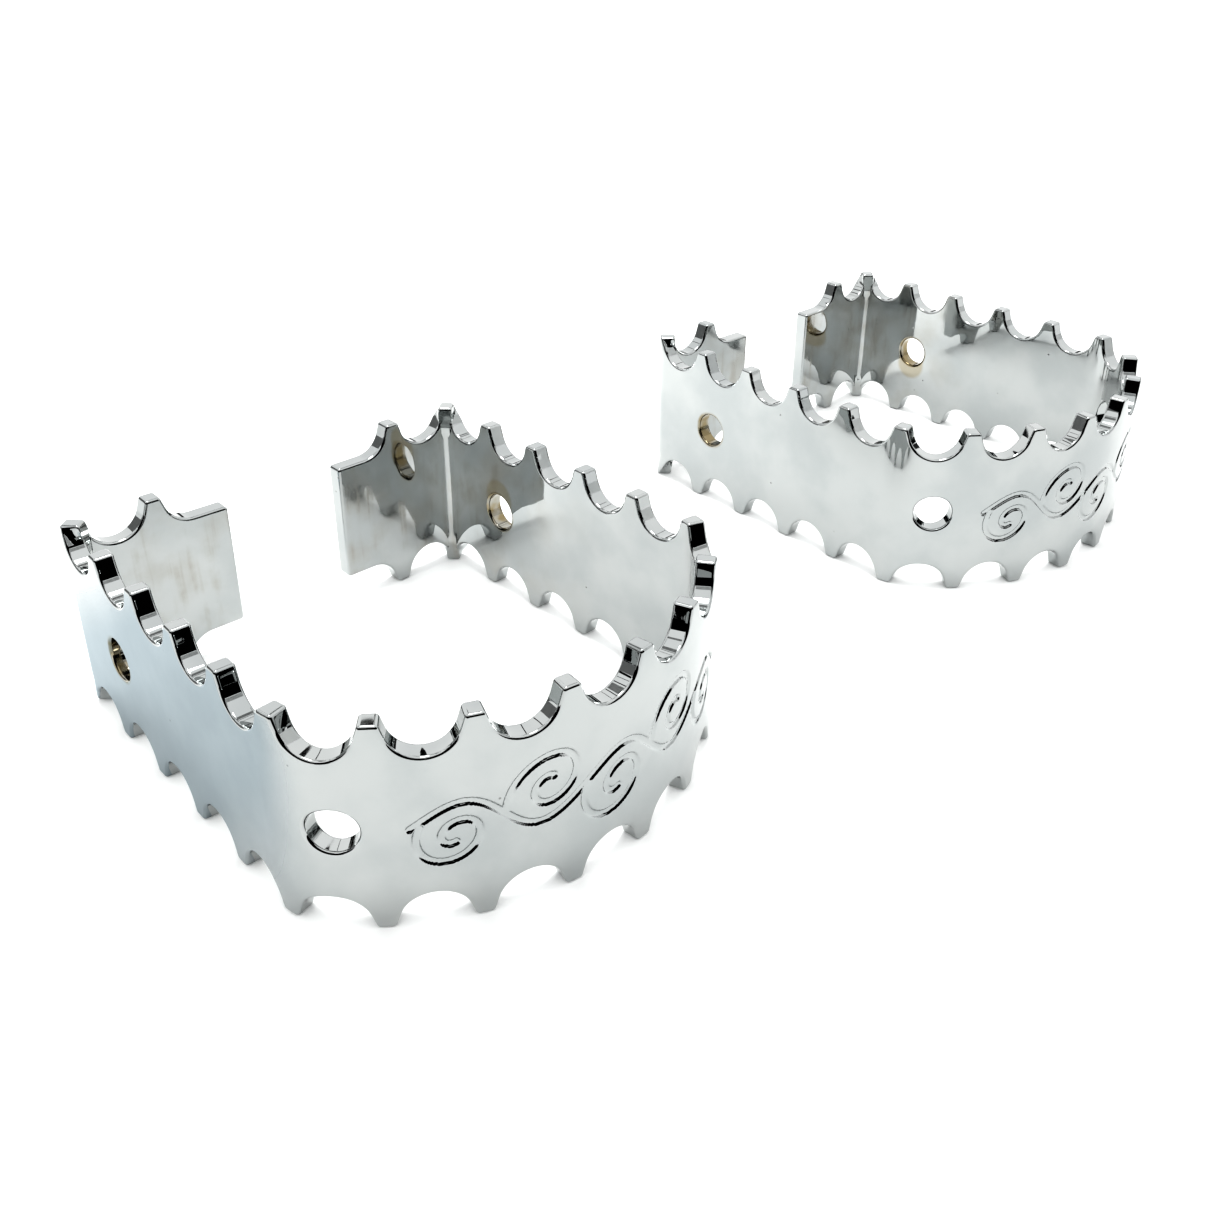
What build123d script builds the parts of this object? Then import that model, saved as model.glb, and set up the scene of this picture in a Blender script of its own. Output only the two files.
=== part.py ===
from build123d import *
import math
import os

os.makedirs("parts", exist_ok=True)

# A pair of toothed pedal cages.  Each cage is one strip of plate with scalloped edges, bent into
# a D-shaped loop: a bowed outboard end (towards -Y), two straight sides, and two short flanges
# that leave a gap on the inboard side (towards +Y) where the spindle passes.
# Both cages stand on their lower teeth at Z = 0.

# strip
strip_height = 31.0
strip_thickness = 3.0
tooth_pitch = 12.1

# bent plan shape, radii to the middle of the thickness
bow_radius = 45.0
corner_radius = 12.0
corner_inset = 2.4
bend_radius = 2.5
side_flare_deg = 1.0
teeth_to_corner = 3.5
teeth_to_bend = 8.5
teeth_to_end = 10.45

# scalloped edge
scallop_radius = 4.5
scallop_depth = 5.0
scallop_flank_deg = 18.0
last_scallop = 10

# bolt holes
hole_radius = 3.2
front_hole_pitch = 2.93
side_hole_pitch = 7.22

# placing of the two cages
cage_spacing = 123.0

half_thickness = strip_thickness / 2
over = 1.0

# arc lengths from the middle of the bowed end
corner_centre = teeth_to_corner * tooth_pitch - corner_inset
bow_turn_free = math.degrees(corner_centre / bow_radius)
corner_turn = (90 + side_flare_deg - bow_turn_free) / (1 - corner_radius / bow_radius / 2)
corner_length = corner_radius * math.radians(corner_turn)
bow_length = corner_centre - corner_length / 2
bow_turn = math.degrees(bow_length / bow_radius)
bend_length = bend_radius * math.pi / 2
side_length = teeth_to_bend * tooth_pitch - bend_length / 2 - corner_centre - corner_length / 2
flange_length = (teeth_to_end - teeth_to_bend) * tooth_pitch - bend_length / 2


def half_run(shift):
    """Right half of the plan curve, moved outwards from the middle of the thickness by shift."""
    bow = JernArc((0, -shift), (1, 0), bow_radius + shift, bow_turn)
    corner = JernArc(bow @ 1, bow % 1, corner_radius + shift, corner_turn)
    side = PolarLine(corner @ 1, side_length, direction=corner % 1)
    bend = JernArc(side @ 1, side % 1, bend_radius + shift, 90)
    flange = PolarLine(bend @ 1, flange_length, direction=bend % 1)
    return [bow, corner, side, bend, flange]


def along(distance):
    """Point and outward direction on the middle of the strip at a signed arc length."""
    left = abs(distance)
    for edge in half_run(0):
        if left <= edge.length:
            break
        left -= edge.length
    point = edge @ (left / edge.length)
    run = edge % (left / edge.length)
    mirror = math.copysign(1, distance)
    return Vector(mirror * point.X, point.Y), Vector(mirror * run.Y, -run.X)


def station(distance, height):
    """Plane at a place on the strip: X along the strip, Y up, Z outwards through the plate."""
    point, outward = along(distance)
    run = Vector(-outward.Y, outward.X)
    return Plane(origin=(point.X, point.Y, height), x_dir=run, z_dir=outward)


def through(plane, sketch):
    """Sketch pushed through the plate, past both faces."""
    return extrude(plane * sketch, amount=half_thickness + over, both=True)


def scallop_sketch():
    """One scallop opening upwards: a round bottom with straight flanks that spread outwards."""
    flank = math.radians(scallop_flank_deg)
    centre = strip_height / 2 - scallop_depth + scallop_radius
    join = centre - scallop_radius * math.sin(flank)
    rim = strip_height / 2 + over
    narrow = scallop_radius * math.cos(flank)
    wide = narrow + (rim - join) * math.tan(flank)
    corners = [(-narrow, join), (narrow, join), (wide, rim), (-wide, rim)]
    return Pos(0, centre) * Circle(scallop_radius) + make_face(Polyline(*corners, close=True))


def end_sketch(side):
    """Flat run from the bottom of the last scallop to past the end of the strip."""
    length = 2 * tooth_pitch
    height = scallop_depth + over
    middle = strip_height / 2 - scallop_depth + height / 2
    return Pos(side * length / 2, middle) * Rectangle(length, height)


def cage():
    """One cage with its bowed end at Y = 0."""
    outer = Wire([*half_run(half_thickness)])
    inner = Wire([*half_run(-half_thickness)])
    end = Line(outer @ 1, inner @ 1)
    right = [*outer.edges(), *inner.edges(), end]
    left = [edge.mirror(Plane.YZ) for edge in right]
    strip = extrude(make_face(right + left), strip_height)

    scallop = scallop_sketch()
    for number in range(-last_scallop, last_scallop + 1):
        plane = station(number * tooth_pitch, strip_height / 2)
        opening = scallop
        if abs(number) == last_scallop:
            opening = scallop + end_sketch(math.copysign(1, number))
        strip -= through(plane, opening)
        strip -= through(plane, mirror(opening, Plane.XZ))

    for pitch in (front_hole_pitch, side_hole_pitch):
        for side in (-1, 1):
            plane = station(side * pitch * tooth_pitch, strip_height / 2)
            strip -= through(plane, Circle(hole_radius))
    return strip


loop = cage()
box = loop.bounding_box()
middle_y = (box.min.Y + box.max.Y) / 2

for name, side in (("cage_left", -1), ("cage_right", 1)):
    placed = Pos(side * cage_spacing / 2, -middle_y, 0) * loop
    export_step(placed, f"parts/{name}.step")
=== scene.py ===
import math

import bpy
import numpy as np
from mathutils import Euler, Matrix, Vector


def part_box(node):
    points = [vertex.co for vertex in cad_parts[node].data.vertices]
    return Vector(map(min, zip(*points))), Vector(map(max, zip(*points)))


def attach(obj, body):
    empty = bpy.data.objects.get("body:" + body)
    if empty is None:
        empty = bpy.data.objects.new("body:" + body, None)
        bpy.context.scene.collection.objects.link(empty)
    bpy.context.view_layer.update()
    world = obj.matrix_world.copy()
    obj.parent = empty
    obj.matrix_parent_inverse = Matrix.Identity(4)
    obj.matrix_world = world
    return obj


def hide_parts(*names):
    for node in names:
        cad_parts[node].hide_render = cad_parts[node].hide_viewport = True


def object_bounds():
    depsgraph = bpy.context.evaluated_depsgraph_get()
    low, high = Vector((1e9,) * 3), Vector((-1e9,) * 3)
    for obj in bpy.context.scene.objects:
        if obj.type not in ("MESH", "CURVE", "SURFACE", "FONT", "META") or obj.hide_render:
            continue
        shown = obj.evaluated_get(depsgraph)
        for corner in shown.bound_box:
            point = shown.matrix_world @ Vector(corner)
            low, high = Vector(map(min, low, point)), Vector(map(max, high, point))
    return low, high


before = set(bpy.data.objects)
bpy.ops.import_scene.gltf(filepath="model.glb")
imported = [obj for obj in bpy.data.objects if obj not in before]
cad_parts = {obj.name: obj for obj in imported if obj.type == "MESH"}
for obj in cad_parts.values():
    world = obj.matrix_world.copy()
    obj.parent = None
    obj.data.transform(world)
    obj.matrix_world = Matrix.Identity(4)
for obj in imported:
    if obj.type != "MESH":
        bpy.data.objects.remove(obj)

cad_low, cad_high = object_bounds()
MM = 0.001

# ---------------------------------------------------------------- toothed cage plates
# Each cage is one strip of 3 mm steel plate with scalloped edges, cut flat, bent into a D and
# mirror chromed.  The plan line is followed by arc length from the middle of the bowed end, and
# the cut outline is laid along it, so the teeth go round the corners as they do on bent plate.
plate_height = 31.0
half_plate = 1.5
tooth_pitch = 12.1
last_scallop = 10
corner_middle = 3.5 * tooth_pitch - 2.4
bend_middle = 8.5 * tooth_pitch
strip_end = 10.45 * tooth_pitch
bow_radius = 45.0
corner_radius = 12.0
bend_radius = 2.5
side_flare = math.radians(1.0)

# the plan line's runs, from the middle of the bowed end: bow, corner, side, sharp bend, flange.
# Bow and corner together turn a quarter and the side's flare; the sharp bend turns a quarter.
corner_turn = math.pi / 2 + side_flare - corner_middle / bow_radius
corner_turn /= 1 - corner_radius / bow_radius / 2
half_corner = corner_radius * corner_turn / 2
half_bend = bend_radius * math.pi / 4
side_length = bend_middle - half_bend - corner_middle - half_corner
flange_length = strip_end - bend_middle - half_bend
bow_length = corner_middle - half_corner
run_lengths = np.array([bow_length, 2 * half_corner, side_length, 2 * half_bend, flange_length])
run_bends = np.array([1 / bow_radius, 1 / corner_radius, 0.0, 1 / bend_radius, 0.0])


def plan_line(place):
    """Middle line of the plate, seen from above: points, outward directions and directions along
    the strip.  Each run is an arc or a straight, so its end follows from the sines and cosines
    of the heading; the left half is the right half mirrored."""
    run_starts = np.concatenate([[0.0], np.cumsum(run_lengths)])
    headings = np.concatenate([[0.0], np.cumsum(run_lengths * run_bends)])
    bends = np.where(run_bends == 0, 1e-9, run_bends)
    step_x = (np.sin(headings[1:]) - np.sin(headings[:-1])) / bends
    step_y = (np.cos(headings[:-1]) - np.cos(headings[1:])) / bends
    straight = run_bends == 0
    step_x[straight] = (run_lengths * np.cos(headings[:-1]))[straight]
    step_y[straight] = (run_lengths * np.sin(headings[:-1]))[straight]
    corner_x = np.concatenate([[0.0], np.cumsum(step_x)])
    corner_y = np.concatenate([[0.0], np.cumsum(step_y)])
    far = np.abs(place)
    run = np.clip(np.searchsorted(run_starts, far, side="right") - 1, 0, len(run_lengths) - 1)
    left = far - run_starts[run]
    start = headings[run]
    heading = start + left * run_bends[run]
    arc_x = corner_x[run] + (np.sin(heading) - np.sin(start)) / bends[run]
    arc_y = corner_y[run] + (np.cos(start) - np.cos(heading)) / bends[run]
    x = np.where(straight[run], corner_x[run] + left * np.cos(start), arc_x)
    y = np.where(straight[run], corner_y[run] + left * np.sin(start), arc_y)
    mirror = np.where(place < 0, -1.0, 1.0)
    flat = np.zeros_like(x)
    point = np.stack([mirror * x, y, flat], -1)
    outward = np.stack([mirror * np.sin(heading), -np.cos(heading), flat], -1)
    along = np.stack([np.cos(heading), mirror * np.sin(heading), flat], -1)
    return point, outward, along


# the tooth on each sharp bend is too narrow to bend: its end stays flat across the corner and
# leans outwards a little.  Heights count from the strip's middle, widths from the tooth's middle.
tooth_lean = 0.6
tooth_setback = 0.5
flat_start = 9.8
flat_full = 11.8
flat_core = 1.1
flat_rim = 2.0


def ease(value, low, high):
    """0 below low, 1 above high, and the smooth step 3x^2 - 2x^3 between."""
    share = np.clip((value - low) / (high - low), 0, 1)
    return share * share * (3 - 2 * share)


def bent_plate(place, height, depth):
    """Points of the bent plate: the plan line's point, moved outwards by depth and up by height.
    The end of a tooth on a sharp bend eases over to a flat square to the bend's middle, which
    starts a little set back and leans outwards evenly with its height."""
    point, outward, _ = plan_line(place)
    where = point + outward * depth[..., None]
    side = np.where(place < 0, -1.0, 1.0)
    middle, facing, run = plan_line(side * bend_middle)
    off = place - side * bend_middle
    rise = np.abs(height - plate_height / 2)
    lean = tooth_lean * (rise - flat_start) / (plate_height / 2 - flat_start) - tooth_setback
    flat = middle + run * off[..., None] + facing * (depth + lean)[..., None]
    share = ease(rise, flat_start, flat_full) * (1 - ease(np.abs(off), flat_core, flat_rim))
    where = where + (flat - where) * share[..., None]
    where[..., 2] = height
    return where


def on_plate(place, height, depth, lean_along, lean_up, lean_out):
    """Points of the bent plate and their surface directions.  A direction given by its parts
    along the strip, up and outwards is turned by the cross products of the ways in which the
    point moves when each of the three coordinates grows."""
    step = 1e-3
    where = bent_plate(place, height, depth)
    by_place = bent_plate(place + step, height, depth) - bent_plate(place - step, height, depth)
    by_height = bent_plate(place, height + step, depth) - bent_plate(place, height - step, depth)
    by_depth = bent_plate(place, height, depth + step) - bent_plate(place, height, depth - step)
    facing = np.cross(by_height, by_depth) * lean_along[..., None]
    facing += np.cross(by_depth, by_place) * lean_up[..., None]
    facing += np.cross(by_place, by_height) * lean_out[..., None]
    facing /= np.linalg.norm(facing, axis=-1, keepdims=True)
    return where, facing


# the cut outline: round-bottomed scallops with straight flanks and blunt, softened teeth
scallop_radius = 4.5
scallop_depth = 5.0
flank = math.radians(72)
tooth_softening = 0.6
end_softening = 0.6


def half_scallop():
    """Half a scallop from its middle to the middle of the next tooth: distance from the middle,
    depth below the rim, and slope.  A circle, then a line tangent to it, then a small circle
    tangent to that line and to the rim, then the flat of the tooth."""
    angle = np.linspace(0, flank, 13)
    round_out = scallop_radius * np.sin(angle)
    round_down = scallop_depth - scallop_radius * (1 - np.cos(angle))
    rim_out = round_out[-1] + round_down[-1] / math.tan(flank)
    soft_out = rim_out + tooth_softening * math.tan(flank / 2)
    turn = np.linspace(flank, 0, 5)
    soft_x = soft_out - tooth_softening * np.sin(turn)
    soft_down = tooth_softening * (1 - np.cos(turn))
    share = np.array([1 / 3, 2 / 3])
    flank_x = round_out[-1] + (soft_x[0] - round_out[-1]) * share
    flank_down = round_down[-1] + (soft_down[0] - round_down[-1]) * share
    flat_x = np.linspace(soft_x[-1], tooth_pitch / 2, 4)[1:]
    out = np.concatenate([round_out, flank_x, soft_x, flat_x])
    down = np.concatenate([round_down, flank_down, soft_down, 0 * flat_x])
    slope = np.concatenate([angle, 0 * flank_x + flank, turn, 0 * flat_x])
    return out, down, slope


def cut_outline():
    """The whole upper edge of the strip, end to end: place, depth below the rim, slope.  Past
    the last scallop it runs level and turns down round a small softened corner."""
    out, down, slope = half_scallop()
    places, downs, slopes = [], [], []
    for number in range(-last_scallop, last_scallop + 1):
        middle = number * tooth_pitch
        if number > -last_scallop:
            places.append(middle - out[:0:-1])
            downs.append(down[:0:-1])
            slopes.append(-slope[:0:-1])
        keep = slice(0, -1) if number < last_scallop else slice(0, 1)
        places.append(middle + out[keep])
        downs.append(down[keep])
        slopes.append(slope[keep])
    turn = np.linspace(0, math.pi / 2, 5)
    level = np.linspace(last_scallop * tooth_pitch, strip_end - end_softening, 9)[1:-1]
    end_x = np.concatenate([level, strip_end - end_softening * (1 - np.sin(turn))])
    end_down = scallop_depth + np.concatenate([0 * level, end_softening * (1 - np.cos(turn))])
    end_slope = np.concatenate([0 * level, -turn])
    place = np.concatenate([-end_x[::-1], *places, end_x])
    depth = np.concatenate([end_down[::-1], *downs, end_down])
    lean = np.concatenate([-end_slope[::-1], *slopes, end_slope])
    return place, depth, lean


# grid of the plate: one column for each point of the outline, one closed ring round the section
edge_softening = 0.48
edge_turn = np.radians([22.5, 45.0, 67.5, 90.0])
level_rows = np.array([6.5, 8.6, 10.75, 13.1, 15.5, 17.9, 20.25, 22.4, 24.5])
first_level = 6
rows = len(level_rows) + 2 * first_level
arch = 2 * len(edge_turn) + 1
ring = 2 * (rows + arch)

# bolt holes: two through the bow's ends and two through the sides, with broken edges
hole_radius = 3.2
hole_height = 15.5
front_hole = 2.93 * tooth_pitch
side_hole = 7.22 * tooth_pitch
hole_sides = 64
hole_window = 4.7

# ornament: a running scroll, a waving stem with a curl in each bay, pressed into the bowed face
ornament_start = -26.5
ornament_end = 29.0
ornament_border = 1.5
ornament_gap = 0.3
ornament_depth = 0.3
stroke_floor = 0.26
stroke_rim = 0.68
fine_step = 0.17
scroll_bays = 5
scroll_lean = 0.22
stem_swing = 3.1
curl_reach = 5.74
curl_closing = 4.64
curl_drop = 2.2
curl_start = math.pi - 0.39
curl_turn = 8.5
end_curl_size = 0.86


def section_parts():
    """The ring round the section, from the outer face's foot, up the outer face, over the upper
    edge, down the inner face and back under the lower edge: how far each point of an edge is
    set back from the outline, its depth through the plate, and how much it faces sideways."""
    turn = np.concatenate([edge_turn, [math.pi / 2], edge_turn[::-1]])
    side = np.concatenate([np.ones(4), [0.0], -np.ones(4)])
    back = edge_softening * (1 - np.sin(turn))
    depth = side * (half_plate - edge_softening * (1 - np.cos(turn)))
    outwards = side * np.cos(turn)
    return back, depth, np.sin(turn), outwards


def plate_grid():
    """All points of the plain plate as (column, ring place) arrays in strip coordinates: place
    along, height, depth, and the three parts of the facing direction."""
    place, down, slope = cut_outline()
    back, through, edge_face, out_face = section_parts()
    shape = (len(place), ring)
    grid = {name: np.zeros(shape) for name in ("place", "height", "depth", "along", "up", "out")}
    inset_place = place + edge_softening * np.sin(slope)
    inset_down = down + edge_softening * np.cos(slope)
    share = np.arange(first_level) / first_level
    foot = inset_down[:, None] * (1 - share) + level_rows[0] * share
    levels = np.broadcast_to(level_rows, (len(place), len(level_rows)))
    column = np.concatenate([foot, levels, plate_height - foot[:, ::-1]], 1)
    outer = slice(0, rows)
    over = slice(rows, rows + arch)
    inner = slice(rows + arch, 2 * rows + arch)
    under = slice(2 * rows + arch, ring)
    for part, facing in ((outer, 1.0), (inner, -1.0)):
        grid["place"][:, part] = inset_place[:, None]
        grid["height"][:, part] = column[:, :: int(facing)]
        grid["depth"][:, part] = facing * half_plate
        grid["out"][:, part] = facing
    edge_place = place[:, None] + back * np.sin(slope)[:, None]
    edge_down = down[:, None] + back * np.cos(slope)[:, None]
    for part, way in ((over, 1), (under, -1)):
        grid["place"][:, part] = edge_place[:, ::way]
        grid["height"][:, part] = (plate_height - edge_down if way > 0 else edge_down)[:, ::way]
        grid["depth"][:, part] = through[::way]
        grid["along"][:, part] = (-np.sin(slope)[:, None] * edge_face)[:, ::way]
        grid["up"][:, part] = (way * np.cos(slope)[:, None] * edge_face)[:, ::way]
        grid["out"][:, part] = out_face[::way]
    return grid


def zip_loops(wide, wide_at, narrow, narrow_at):
    """Triangles that fill the gap between two closed loops, both counterclockwise, whose points
    lie at the given shares of a turn.  Every edge of either loop gets one triangle, whose third
    corner is the last point passed on the other loop."""
    wide, wide_at = wide[np.argsort(wide_at)], np.sort(wide_at)
    narrow, narrow_at = narrow[np.argsort(narrow_at)], np.sort(narrow_at)
    order = np.argsort(np.concatenate([wide_at, narrow_at]), kind="stable")
    is_wide = order < len(wide)
    wide_now = np.cumsum(is_wide) - 1
    narrow_now = np.cumsum(~is_wide) - 1
    on_wide = np.stack([wide[wide_now - 1], wide[wide_now], narrow[narrow_now]], -1)[is_wide]
    on_narrow = np.stack([wide[wide_now], narrow[narrow_now], narrow[narrow_now - 1]], -1)
    return np.concatenate([on_wide, on_narrow[~is_wide]])


def rim_loop(numbers):
    """The outermost points of a rectangle of numbers, counterclockwise, and their shares of a
    turn, a quarter for each side of the rectangle."""
    sides = [numbers[:, 0], numbers[-1, :], numbers[::-1, -1], numbers[0, ::-1]]
    loop = np.concatenate([side[:-1] for side in sides])
    quarters = [(k + np.linspace(0, 1, len(side))[:-1]) / 4 for k, side in enumerate(sides)]
    return loop, np.concatenate(quarters)


def round_turn(place, height, middle):
    """Share of a turn at which points lie round a hole's middle."""
    return np.mod(np.arctan2(height - hole_height, place - middle) / (2 * math.pi), 1.0)


def hole_rings(middle):
    """A hole's softened outer rim, its wall and its inner rim, as rings of points in strip
    coordinates: the radius shrinks by one minus the sine of the turn, and the depth by one
    minus its cosine."""
    turn = np.radians([0, 22.5, 45.0, 67.5, 90.0])
    turn = np.concatenate([turn, [math.pi / 2], turn[::-1]])[:, None]
    side = np.concatenate([np.ones(5), [0.0], -np.ones(5)])[:, None]
    round_way = np.linspace(0, 2 * math.pi, hole_sides, endpoint=False)
    radius = hole_radius + edge_softening * (1 - np.sin(turn))
    depth = side * (half_plate - edge_softening * (1 - np.cos(turn)))
    even = np.ones((1, hole_sides))
    return {
        "place": middle + radius * np.cos(round_way),
        "height": hole_height + radius * np.sin(round_way),
        "depth": depth * even,
        "along": -np.sin(turn) * np.cos(round_way),
        "up": -np.sin(turn) * np.sin(round_way),
        "out": side * np.cos(turn) * even,
    }


def scroll_strokes():
    """Points along the ornament's strokes, and the step from one to the next: a stem that is a
    sine of distance, and in each of its bays a spiral that leaves the stem, runs round the bay
    and closes on its middle.  All of it leans forward with height."""
    share = np.linspace(0, 1, 900)
    length = ornament_end - ornament_start
    swing = stem_swing * np.sin(scroll_bays * math.pi * share)
    strokes = [np.stack([ornament_start + length * share, swing], -1)]
    bay = length / scroll_bays
    for number in range(scroll_bays):
        way = (-1) ** number
        size = 1.0 if 0 < number < scroll_bays - 1 else end_curl_size
        turn = curl_start + curl_turn * share[::2]
        radius = size * (curl_reach - curl_closing * share[::2] ** 0.8)
        middle = ornament_start + bay * (number + 0.5)
        curl_x = middle + radius * np.cos(turn)
        curl_y = way * (radius * np.sin(turn) - curl_drop * size)
        strokes.append(np.stack([curl_x, curl_y], -1))
    for stroke in strokes:
        stroke[:, 0] += scroll_lean * stroke[:, 1]
        stroke[:, 1] += hole_height
    steps = [np.gradient(stroke, axis=0) for stroke in strokes]
    return np.concatenate(strokes), np.concatenate(steps)


def pressed_depth(place, height):
    """How deep the ornament is pressed at each point, and the rate of change along and up: full
    depth near a stroke's middle, easing to none at its rim by a smooth step on the distance."""
    strokes, steps = scroll_strokes()
    near = np.empty(place.shape + (2,))
    for column in range(0, len(place), 24):
        part = slice(column, column + 24)
        across = (place[part][..., None] - strokes[:, 0]) ** 2
        nearest = (across + (height[part][..., None] - strokes[:, 1]) ** 2).argmin(-1)
        off = np.stack([place[part], height[part]], -1) - strokes[nearest]
        step = steps[nearest]
        along_step = (off * step).sum(-1) / (step * step).sum(-1)
        near[part] = off - step * np.clip(along_step, -0.5, 0.5)[..., None]
    distance = np.linalg.norm(near, axis=-1)
    share = np.clip((distance - stroke_floor) / (stroke_rim - stroke_floor), 0, 1)
    depth = ornament_depth * (1 - share * share * (3 - 2 * share))
    rate = -ornament_depth * 6 * share * (1 - share) / (stroke_rim - stroke_floor)
    rate = rate / np.maximum(distance, 1e-6)
    return depth, rate * near[..., 0], rate * near[..., 1]


def cage_plate(name, node):
    """One cage as a single closed mesh: the plate's grid, its two end caps, four holes through
    windows left in the grid, and the finely divided ornament window on the bowed face."""
    grid = plate_grid()
    columns = len(grid["place"])
    parts = {key: [value.reshape(-1)] for key, value in grid.items()}
    count = columns * ring
    number = np.arange(count).reshape(columns, ring)
    closed = np.concatenate([number, number[:, :1]], 1)
    cells = np.stack([closed[:-1, :-1], closed[1:, :-1], closed[1:, 1:], closed[:-1, 1:]], -1)
    kept = np.ones(cells.shape[:2], bool)
    column_place = grid["place"][:, 0]
    quads, triangles = [], []

    def add(points):
        """Adds points in strip coordinates and returns their numbers, shaped as they are."""
        nonlocal count
        shape = points["place"].shape
        for key in parts:
            parts[key].append(np.asarray(points[key], float).reshape(-1))
        fresh = count + np.arange(int(np.prod(shape))).reshape(shape)
        count += fresh.size
        return fresh

    def window(start, end, low, high):
        """Column numbers of a window and its numbers on both faces, both counterclockwise when
        seen from outside the loop."""
        first = int(np.abs(column_place - start).argmin())
        last = int(np.abs(column_place - end).argmin())
        outer = number[first : last + 1, low : high + 1]
        flipped = rows + arch + rows - 1
        inner = number[first : last + 1, flipped - high : flipped - low + 1][:, ::-1]
        return first, last, outer, inner, flipped

    # the flat ends: rows across the thickness between the two faces' last columns
    for column, way in ((0, -1), (columns - 1, 1)):
        outer = number[column, :rows]
        inner = number[column, rows + arch : 2 * rows + arch][::-1]
        over = number[column, rows : rows + arch]
        under = number[column, 2 * rows + arch :][::-1]
        shape = (rows - 2, arch)
        cap = {key: np.broadcast_to(grid[key][column, rows : rows + arch], shape) for key in grid}
        cap["height"] = np.broadcast_to(grid["height"][column, 1 : rows - 1, None], shape)
        cap = {**cap, "up": np.zeros(shape)}
        middle = add(cap)
        face = np.concatenate([under[None], middle, over[None]])
        face = np.concatenate([outer[:, None], face, inner[:, None]], 1)
        made = np.stack([face[:-1, :-1], face[:-1, 1:], face[1:, 1:], face[1:, :-1]], -1)
        quads.append(made.reshape(-1, 4)[:, ::way])

    # the holes
    low = first_level + 2
    high = first_level + 6
    for middle in (-side_hole, -front_hole, front_hole, side_hole):
        start, end = middle - hole_window, middle + hole_window
        first, last, outer, inner, flipped = window(start, end, low, high)
        kept[first:last, low:high] = False
        kept[first:last, flipped - high : flipped - low] = False
        rings = hole_rings(middle)
        numbers = add(rings)
        wrapped = np.concatenate([numbers, numbers[:, :1]], 1)
        corners = [wrapped[:-1, :-1], wrapped[:-1, 1:], wrapped[1:, 1:], wrapped[1:, :-1]]
        quads.append(np.stack(corners, -1).reshape(-1, 4))
        for face, circle, flip in ((outer, 0, 1), (inner, -1, -1)):
            loop, _ = rim_loop(face)
            flat_place = np.concatenate(parts["place"])[loop]
            flat_height = np.concatenate(parts["height"])[loop]
            loop_turn = round_turn(flat_place, flat_height, middle)
            circle_turn = np.arange(hole_sides) / hole_sides
            filled = zip_loops(loop, loop_turn, numbers[circle], circle_turn)
            triangles.append(filled[:, ::flip])

    # the ornament
    low, high = first_level, first_level + len(level_rows) - 1
    start, end = ornament_start - ornament_border, ornament_end + ornament_border
    first, last, outer, _, _ = window(start, end, low, high)
    kept[first:last, low:high] = False
    left, right = column_place[first] + ornament_gap, column_place[last] - ornament_gap
    foot, head = level_rows[0] + ornament_gap, level_rows[-1] - ornament_gap
    across = np.arange(left, right, fine_step)
    upward = np.arange(foot, head, fine_step)
    place, height = np.meshgrid(across, upward, indexing="ij")
    depth, rate_along, rate_up = pressed_depth(place, height)
    fine = add({
        "place": place,
        "height": height,
        "depth": half_plate - depth,
        "along": rate_along,
        "up": rate_up,
        "out": np.ones_like(place),
    })
    made = np.stack([fine[:-1, :-1], fine[1:, :-1], fine[1:, 1:], fine[:-1, 1:]], -1)
    quads.append(made.reshape(-1, 4))
    triangles.append(zip_loops(*rim_loop(outer), *rim_loop(fine)))

    quads = np.concatenate([cells[kept], *quads])
    triangles = np.concatenate(triangles)
    strip = {key: np.concatenate(value) for key, value in parts.items()}
    where, facing = on_plate(*strip.values())
    low_corner, high_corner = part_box(node)
    where[:, 0] += (low_corner[0] + high_corner[0]) / 2 / MM
    where[:, 1] += low_corner[1] / MM + half_plate
    where[:, 2] += low_corner[2] / MM

    mesh = bpy.data.meshes.new(name)
    mesh.vertices.add(count)
    mesh.vertices.foreach_set("co", (where * MM).astype(np.float32).reshape(-1))
    corners = np.concatenate([quads.reshape(-1), triangles.reshape(-1)])
    sizes = np.concatenate([np.full(len(quads), 4), np.full(len(triangles), 3)])
    mesh.loops.add(len(corners))
    mesh.loops.foreach_set("vertex_index", corners.astype(np.int32))
    mesh.polygons.add(len(sizes))
    starts = np.concatenate([[0], np.cumsum(sizes)[:-1]])
    mesh.polygons.foreach_set("loop_start", starts.astype(np.int32))
    mesh.polygons.foreach_set("use_smooth", np.ones(len(sizes), bool))
    mesh.update(calc_edges=True)
    mesh.normals_split_custom_set_from_vertices(facing.astype(np.float32).tolist())
    strip_place = mesh.attributes.new("strip_place", "FLOAT_VECTOR", "POINT")
    places = np.stack([strip["place"], strip["height"], strip["depth"]], -1)
    strip_place.data.foreach_set("vector", (places * MM).astype(np.float32).reshape(-1))
    if mesh.validate(verbose=False):
        raise RuntimeError(f"{name} has faulty faces")
    cage = bpy.data.objects.new(name, mesh)
    bpy.context.scene.collection.objects.link(cage)
    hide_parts(node)
    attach(cage, "root")
    return cage


cages = [cage_plate("cage_left_plate", "cage_left"), cage_plate("cage_right_plate", "cage_right")]


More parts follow.
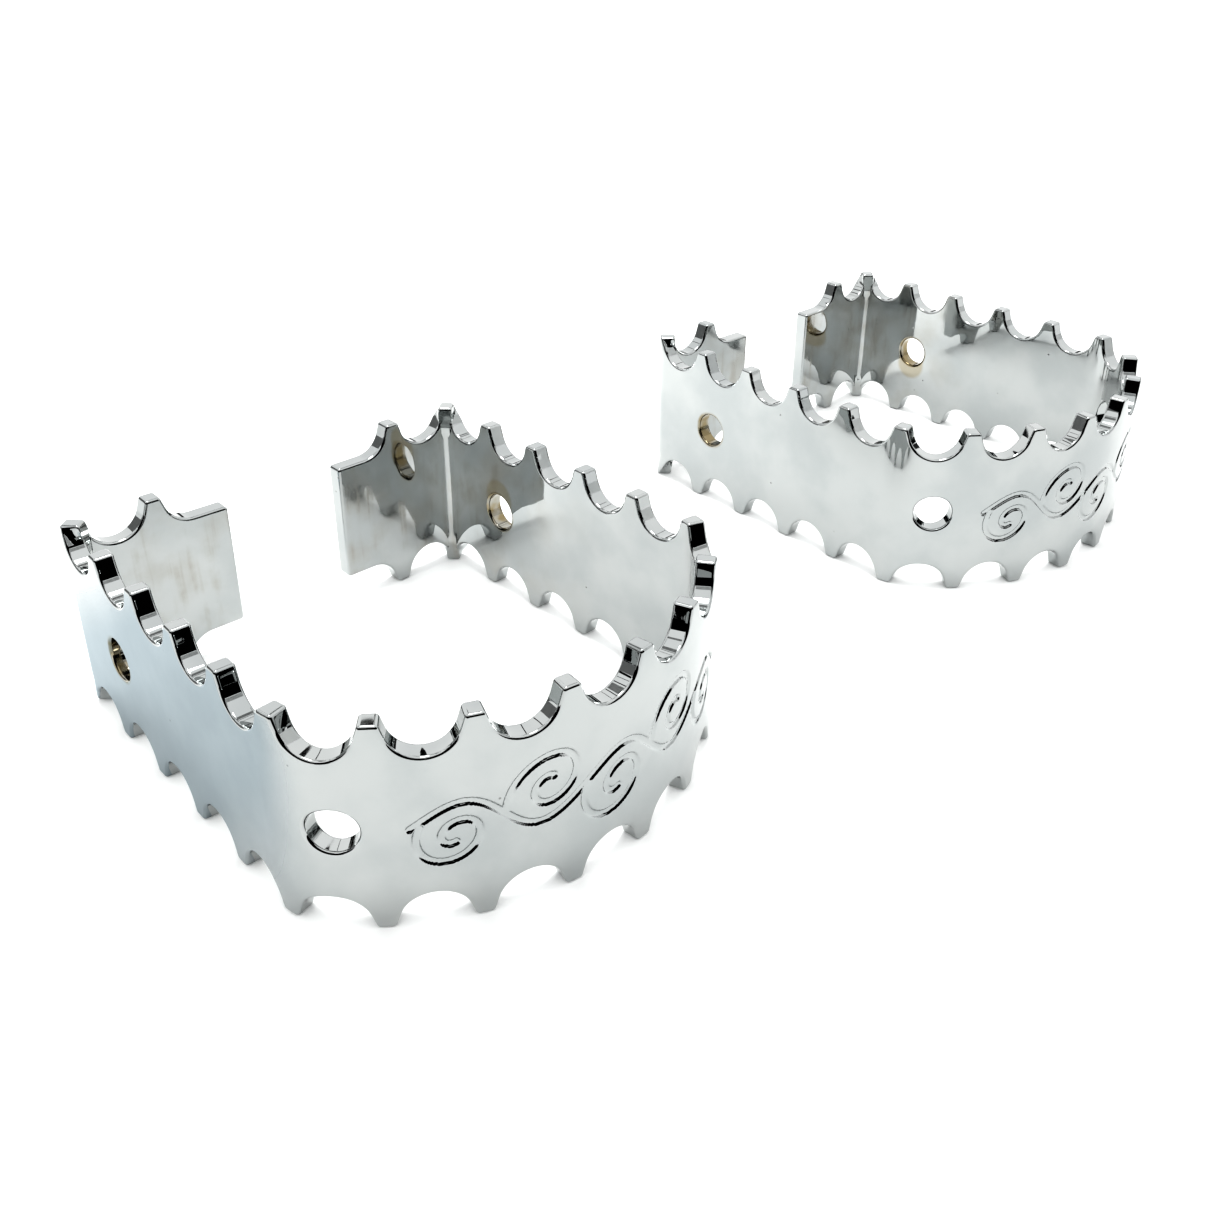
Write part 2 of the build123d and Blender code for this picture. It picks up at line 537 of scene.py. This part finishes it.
# the finish: thin bright chromium over polished nickel and steel.  Grinding lines run along the
# strip under the plating, it is faintly wavy with a few pits, and it thins to a brassy tone in
# the side holes.
class Wire:
    """A value on its way through a material; sums and products with it add Math nodes."""

    def __init__(self, finish, socket):
        self.finish = finish
        self.socket = socket

    def maths(self, operation, *values):
        return self.finish.node("ShaderNodeMath", {"operation": operation}, dict(enumerate(values)))

    def __add__(self, other):
        return self.maths("ADD", self, other)

    def __sub__(self, other):
        return self.maths("SUBTRACT", self, other)

    def __rsub__(self, other):
        return self.maths("SUBTRACT", other, self)

    def __mul__(self, other):
        return self.maths("MULTIPLY", self, other)

    __radd__ = __add__
    __rmul__ = __mul__

    def __pow__(self, other):
        return self.maths("POWER", self, other)

    def __abs__(self):
        return self.maths("ABSOLUTE", self)

    def ramp(self, low, high):
        """0 at low and below, 1 at high and above, smooth between."""
        settings = {"interpolation_type": "SMOOTHSTEP", "clamp": True}
        ends = {"Value": self, "From Min": low, "From Max": high}
        return self.finish.node("ShaderNodeMapRange", settings, ends)


class Finish:
    """A material and its nodes."""

    def __init__(self, name):
        self.material = bpy.data.materials.new(name)
        self.material.use_nodes = True
        self.tree = self.material.node_tree
        self.tree.nodes.clear()

    def node(self, kind, settings=None, inputs=None, out=0):
        """Adds a node, makes its settings, then its values and links, and gives an output."""
        made = self.tree.nodes.new(kind)
        for key, value in (settings or {}).items():
            setattr(made, key, value)
        for key, value in (inputs or {}).items():
            if isinstance(value, Wire):
                self.tree.links.new(value.socket, made.inputs[key])
            else:
                made.inputs[key].default_value = value
        return made if out is None else Wire(self, made.outputs[out])

    def blend(self, factor, first, second):
        """Colour mix of two colours or wires by a factor."""
        settings = {"data_type": "RGBA", "blend_type": "MIX"}
        return self.node("ShaderNodeMix", settings, {0: factor, 6: first, 7: second}, out=2)

    def surface(self, values):
        """Ends the material in a Principled shader with these sockets, and gives the material."""
        shader = self.node("ShaderNodeBsdfPrincipled", None, values)
        self.node("ShaderNodeOutputMaterial", None, {"Surface": shader}, out=None)
        return self.material


chrome = Finish("mirror_chrome")
strip = chrome.node("ShaderNodeAttribute", {"attribute_name": "strip_place"}, out="Vector")
split = chrome.node("ShaderNodeSeparateXYZ", None, {0: strip}, out=None)
along, height, depth = (Wire(chrome, output) for output in split.outputs)
solid = chrome.node("ShaderNodeTexCoord", out="Object")

# grinding lines, long along the strip and a fraction of a millimetre apart
drawn_out = {"Vector": strip, "Scale": (30.0, 1300.0, 1300.0)}
lines_at = chrome.node("ShaderNodeMapping", None, drawn_out)
line_noise = {"Vector": lines_at, "Scale": 1.0, "Detail": 1.0}
grinding = chrome.node("ShaderNodeTexNoise", None, line_noise)
# slow waviness of the rolled plate, and the finer ripple of the plating
waviness = chrome.node("ShaderNodeTexNoise", None, {"Vector": solid, "Scale": 75.0, "Detail": 0.0})
ripple = chrome.node("ShaderNodeTexNoise", None, {"Vector": solid, "Scale": 420.0, "Detail": 0.0})
# handling smears
smears = chrome.node("ShaderNodeTexNoise", None, {"Vector": solid, "Scale": 70.0, "Detail": 5.0})
smear = smears.ramp(0.45, 0.75)
# a few small pits
pit_cells = chrome.node("ShaderNodeTexVoronoi", None, {"Vector": solid, "Scale": 260.0})
pit_thin = chrome.node("ShaderNodeTexNoise", None, {"Vector": solid, "Scale": 90.0, "Detail": 1.0})
pits = (1 - pit_cells.ramp(0.02, 0.07)) * pit_thin.ramp(0.58, 0.62)

# brassy tone on the walls of the side holes, patchy
hole_along = (abs(along) - side_hole * MM) ** 2
hole_off = (hole_along + (height - hole_height * MM) ** 2) ** 0.5
patch = chrome.node("ShaderNodeTexNoise", None, {"Vector": solid, "Scale": 350.0, "Detail": 2.0})
hole_wall = 1 - hole_off.ramp((hole_radius + 0.15) * MM, (hole_radius + 0.8) * MM)
brassy = hole_wall * (0.4 + patch.ramp(0.35, 0.65) * 0.6)

# on the inner face, a faint stain beside each side hole: above the holes of the left cage and
# below those of the right one
inside = (0 - depth).ramp(1.3 * MM, 1.45 * MM)
is_right = chrome.node("ShaderNodeSeparateXYZ", None, {0: solid}).ramp(-1.0 * MM, 1.0 * MM)
stain_above, stain_drop = 2.8 * MM, 5.8 * MM
stain_height = hole_height * MM + stain_above - is_right * stain_drop
stain_off = (hole_along + (height - stain_height) ** 2) ** 0.5
stain = (1 - stain_off.ramp(2.9 * MM, 3.9 * MM)) * inside
# a cloudy haze that grows towards the flanges
clouds = chrome.node("ShaderNodeTexNoise", None, {"Vector": solid, "Scale": 130.0, "Detail": 4.0})
haze = clouds.ramp(0.42, 0.7) * inside * abs(along).ramp(55 * MM, 95 * MM)
# upright polishing scratches inside the flanges and the ends of the sides
drawn_up = {"Vector": strip, "Scale": (700.0, 45.0, 1.0)}
scratch_at = chrome.node("ShaderNodeMapping", None, drawn_up)
scratch_noise = {"Vector": scratch_at, "Scale": 1.0, "Detail": 2.0}
scratches = chrome.node("ShaderNodeTexNoise", None, scratch_noise)
near_gap = abs(along).ramp(86 * MM, 100 * MM)
scratched = scratches.ramp(0.5, 0.68) * clouds.ramp(0.38, 0.6) * inside * near_gap

silver = chrome.blend(smears.ramp(0.36, 0.64), (0.400, 0.418, 0.418, 1), (0.458, 0.472, 0.468, 1))
pitted = chrome.blend(pits * 0.7, silver, (0.18, 0.18, 0.17, 1))
hazed = chrome.blend(haze * 0.3 + scratched * 0.25, pitted, (0.29, 0.265, 0.22, 1))
stained = chrome.blend(stain * 0.6, hazed, (0.34, 0.29, 0.19, 1))
tone = chrome.blend(brassy * 0.85, stained, (0.235, 0.18, 0.08, 1))
roughness = 0.012 + grinding * 0.006 + smear * 0.05 + haze * 0.06
roughness = roughness + scratched * 0.1 + pits * 0.3 + brassy * 0.08
relief = waviness * 1.2 + ripple * 0.05 + grinding * 0.002 - pits * 0.2
bump = chrome.node("ShaderNodeBump", None, {"Strength": 0.12, "Distance": 0.0015, "Height": relief})
plated = {"Base Color": tone, "Metallic": 1.0, "Roughness": roughness, "Normal": bump}
plated_chrome = chrome.surface(plated)
for cage in cages:
    cage.data.materials.append(plated_chrome)

# ---------------------------------------------------------------- floor and studio
# A seamless white sweep in an even white light with one soft lamp overhead.  Cloths and frames
# stand round the table, and a blue-grey card of painted shade lies beside the left cage in place of
# the cooler, dimmer floor there: only the metal picks them up.
scene = bpy.context.scene
world = bpy.data.worlds.new("studio_white")
world.use_nodes = True
world.node_tree.nodes["Background"].inputs["Color"].default_value = (1.0, 1.0, 1.0, 1)
world.node_tree.nodes["Background"].inputs["Strength"].default_value = 1.08
scene.world = world

paper = Finish("white_paper")
paper_at = paper.node("ShaderNodeTexCoord", out="Object")
fibres = paper.node("ShaderNodeTexNoise", None, {"Vector": paper_at, "Scale": 30.0, "Detail": 4.0})
paper_tone = paper.blend(fibres, (0.94, 0.955, 0.95, 1), (0.97, 0.975, 0.97, 1))
paper_values = {"Base Color": paper_tone, "Roughness": 0.9, "Specular IOR Level": 0.1}

floor_half = 4.0
floor_mesh = bpy.data.meshes.new("floor")
floor_corners = floor_half * np.array([(-1, -1, 0), (1, -1, 0), (1, 1, 0), (-1, 1, 0)])
floor_mesh.from_pydata(floor_corners.tolist(), [], [(0, 1, 2, 3)])
floor_mesh.materials.append(paper.surface(paper_values))
floor = bpy.data.objects.new("floor", floor_mesh)
scene.collection.objects.link(floor)

curtain_distance = 0.45


def reflected(name, points, faces, finish):
    """A staging piece that is only seen in the metal."""
    mesh = bpy.data.meshes.new(name)
    mesh.from_pydata(points, [], faces)
    mesh.materials.append(finish)
    made = bpy.data.objects.new(name, mesh)
    scene.collection.objects.link(made)
    made.visible_camera = False
    made.visible_diffuse = False
    made.visible_shadow = False


def curtain(name, first_bearing, last_bearing, low, high, tone):
    """Part of an upright cylinder round the object, between two bearings in degrees clockwise
    from +Y and two heights: x is the sine of the bearing and y its cosine."""
    bearing = np.radians(np.linspace(first_bearing, last_bearing, 33))
    round_about = curtain_distance * np.stack([np.sin(bearing), np.cos(bearing)], -1)
    points = [np.column_stack([round_about, np.full(len(bearing), edge)]) for edge in (low, high)]
    numbers = np.arange(2 * len(bearing)).reshape(2, -1)
    faces = np.stack([numbers[0, :-1], numbers[0, 1:], numbers[1, 1:], numbers[1, :-1]], -1)
    matt = {"Base Color": (tone, tone, tone, 1), "Roughness": 1.0, "Specular IOR Level": 0.0}
    cloth = Finish(name).surface(matt)
    reflected(name, np.concatenate(points).tolist(), faces.tolist(), cloth)


curtain("cloth_front", 149, 250, 0.0, 0.40, 0.001)
curtain("cloth_left", 250, 280, 0.045, 0.36, 0.001)
curtain("grey_left_back", 280, 335, 0.05, 0.27, 0.22)
curtain("rib_left_back", 296, 299, 0.03, 0.45, 0.002)
curtain("rib_left_back_2", 316, 317.5, 0.03, 0.45, 0.002)
curtain("grey_right_front", 110, 149, 0.06, 0.38, 0.75)
curtain("rib_right_front", 124, 127, 0.04, 0.42, 0.002)
curtain("rib_right_front_2", 139, 141, 0.04, 0.42, 0.01)
curtain("dark_right_back", 20, 110, 0.03, 0.085, 0.04)
curtain("grey_front_high", 149, 250, 0.42, 0.62, 0.45)
curtain("rib_back_low", -70, 70, 0.425, 0.44, 0.002)
curtain("rib_back_high", -70, 70, 0.60, 0.63, 0.002)
curtain("grey_back_high", -70, 70, 0.68, 0.95, 0.3)

# the card of painted shade lies a hair above the floor and thins out towards its edges
shade_card = Finish("painted_floor_shade_card")
card_at = shade_card.node("ShaderNodeTexCoord", out="Object")
card_split = shade_card.node("ShaderNodeSeparateXYZ", None, {0: card_at}, out=None)
card_x, card_y = (Wire(shade_card, output) for output in card_split.outputs[:2])
card_left, card_front, card_back = -0.15, -0.03, 0.085
card_right = cad_low[0] + half_plate * MM
card_sides = card_x.ramp(card_left, -0.118) * card_y.ramp(card_front, 0.01)
shade_card_fade = card_sides * (1 - card_y.ramp(0.055, card_back))
# painted shade: the card's blue-grey stands in for cooler, dimmer light on the floor beside the
# left cage, seen only in the metal
painted_shade_values = {"Base Color": (0.61, 0.68, 0.72, 1), "Roughness": 1.0, "Alpha": shade_card_fade}
card_corners = [(card_left, card_front), (card_right, card_front)]
card_corners += [(card_right, card_back), (card_left, card_back)]
card_points = [(x, y, 0.2 * MM) for x, y in card_corners]
reflected("painted_floor_shade_card", card_points, [(0, 1, 2, 3)], shade_card.surface(painted_shade_values))

lamp_data = bpy.data.lights.new("soft_lamp", "SPOT")
lamp_data.energy = 9.0
lamp_data.spot_size = math.radians(44)
lamp_data.spot_blend = 1.0
lamp_data.shadow_soft_size = 0.12
lamp = bpy.data.objects.new("soft_lamp", lamp_data)
lamp.matrix_world = Matrix.Translation((0.0, 0.1, 0.7))
scene.collection.objects.link(lamp)

# ---------------------------------------------------------------- camera
# At catalogue height, in front of the pair and to the left of it, looking down at it.
camera_place = (-149.443 * MM, -136.519 * MM, 119.552 * MM)
camera_tilt = math.radians(62.1044)
camera_roll = math.radians(-0.8644)
camera_heading = math.radians(-43.5738)
camera_data = bpy.data.cameras.new("camera")
camera_data.sensor_width = 36.0
camera_data.lens = 37.747
camera_data.shift_x = -0.02654
camera_data.shift_y = -0.06955
camera_data.clip_start = 0.01
camera = bpy.data.objects.new("camera", camera_data)
camera_turn = Euler((camera_tilt, camera_roll, camera_heading))
camera.matrix_world = Matrix.Translation(camera_place) @ camera_turn.to_matrix().to_4x4()
scene.collection.objects.link(camera)
scene.camera = camera
scene.view_settings.view_transform = "Standard"
scene.view_settings.look = "High Contrast"
